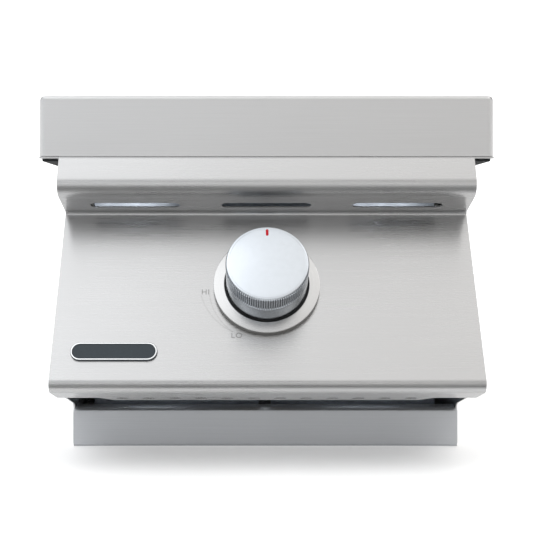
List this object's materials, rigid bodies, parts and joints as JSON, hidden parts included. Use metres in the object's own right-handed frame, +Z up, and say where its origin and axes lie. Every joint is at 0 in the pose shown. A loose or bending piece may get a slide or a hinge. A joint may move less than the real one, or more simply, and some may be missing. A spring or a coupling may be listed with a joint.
{
  "type": "built-in side burner",
  "caption": "Built-in gas side burner for an outdoor kitchen: brushed steel body with sloping control panel, push-and-turn knob, cast grate over a brass burner and a hinged cover.",
  "frame": {"origin": "middle of the footprint's box, on the plane of the bottom pan's underside", "axes": "+Z up, -Y towards the user at the control panel, +X to the user's right"},
  "size_m": [0.3346, 0.532, 0.2666],
  "materials": {
    "brushed_sheet": "stainless sheet with a straight horizontal brush",
    "plain_sheet": "plain mill-finish stainless sheet",
    "hardware": "turned and plated steel",
    "knob_chrome": "bright satin chrome",
    "pointer_red": "red enamel fill",
    "badge": "dark slate enamel with a bare silver border",
    "cast_iron": "matt black cast iron",
    "brass": "plain cast and machined brass",
    "tubing": "plain aluminised tube",
    "black_plastic": "moulded black plastic",
    "lead_rubber": "silicone-sleeved ignition lead",
    "white_ceramic": "white glazed insulator"
  },
  "bodies": {
    "housing": {"control_panel": "brushed_sheet", "top_deck": "brushed_sheet", "right_side_panel": "brushed_sheet", "left_side_panel": "brushed_sheet", "bottom_pan": "plain_sheet", "rear_panel": "plain_sheet", "front_heat_shield": "plain_sheet", "drip_pan": "plain_sheet", "cross_strap": "plain_sheet", "right_hinge_bracket": "plain_sheet", "left_hinge_bracket": "plain_sheet", "right_hinge_pin": "hardware", "left_hinge_pin": "hardware", "right_hinge_nut": "hardware", "left_hinge_nut": "hardware", "valve_bracket": "plain_sheet", "orifice_bracket": "plain_sheet", "electrode_bracket": "plain_sheet", "left_burner_screw": "hardware", "right_burner_screw": "hardware", "left_bezel_screw": "hardware", "right_bezel_screw": "hardware", "knob_bezel": "knob_chrome", "badge_plate": "badge", "burner_base": "brass", "orifice_spud": "brass", "valve_body": "brass", "valve_bonnet": "brass", "supply_nut_front": "brass", "supply_nut_rear": "brass", "inlet_nut": "brass", "inlet_lock_nut": "brass", "gas_inlet_fitting": "brass", "venturi_tube": "tubing", "gas_supply_tube": "tubing", "gas_inlet_pipe": "tubing", "spark_module": "black_plastic", "igniter_lead": "lead_rubber", "electrode_ceramic": "white_ceramic", "electrode_tip": "hardware"},
    "cover": {"lid": "brushed_sheet"},
    "stem_carrier": {"thrust_washer": "hardware", "valve_spring": "hardware"},
    "knob": {"control_knob": "knob_chrome", "knob_pointer": "pointer_red", "valve_stem": "hardware"},
    "plug": {"valve_plug": "brass"},
    "shutter": {"air_shutter": "tubing"},
    "grate": {"cooking_grate": "cast_iron"},
    "ring": {"burner_ring": "brass"},
    "cap": {"burner_cap": "cast_iron"}
  },
  "joints": [
    {"name": "lid_hinge", "type": "hinge", "parent": "housing", "child": "cover", "pos_m": [0, 0.25002, 0.244], "axis": [-1, 0, 0], "range_deg": [0, 95]},
    {"name": "knob_push", "type": "slide", "parent": "housing", "child": "stem_carrier", "axis": [0, 0.8695, -0.4939], "range_m": [0, 0.003], "stiffness_N_per_m": 800, "springref_m": -0.004},
    {"name": "knob_turn", "type": "hinge", "parent": "stem_carrier", "child": "knob", "pos_m": [0, -0.21955, 0.12829], "axis": [0, -0.8695, 0.4939], "range_deg": [0, 150]},
    {"name": "plug_turn", "type": "hinge", "parent": "housing", "child": "plug", "pos_m": [0, -0.21955, 0.12829], "axis": [0, -0.8695, 0.4939], "range_deg": [0, 150]},
    {"name": "air_shutter_turn", "type": "hinge", "parent": "housing", "child": "shutter", "pos_m": [0, -0.11743, 0.16], "axis": [0, 1, 0], "range_deg": [0, 60]},
    {"name": "grate_lift", "type": "slide", "parent": "housing", "child": "grate", "axis": [0, 0, 1], "range_m": [0, 0.015]},
    {"name": "ring_lift", "type": "slide", "parent": "housing", "child": "ring", "axis": [0, 0, 1], "range_m": [0, 0.004]},
    {"name": "cap_lift", "type": "slide", "parent": "ring", "child": "cap", "axis": [0, 0, 1], "range_m": [0, 0.004]}
  ],
  "couplings": [
    {"joint": "plug_turn", "follows": "knob_turn", "ratio": 1}
  ]
}
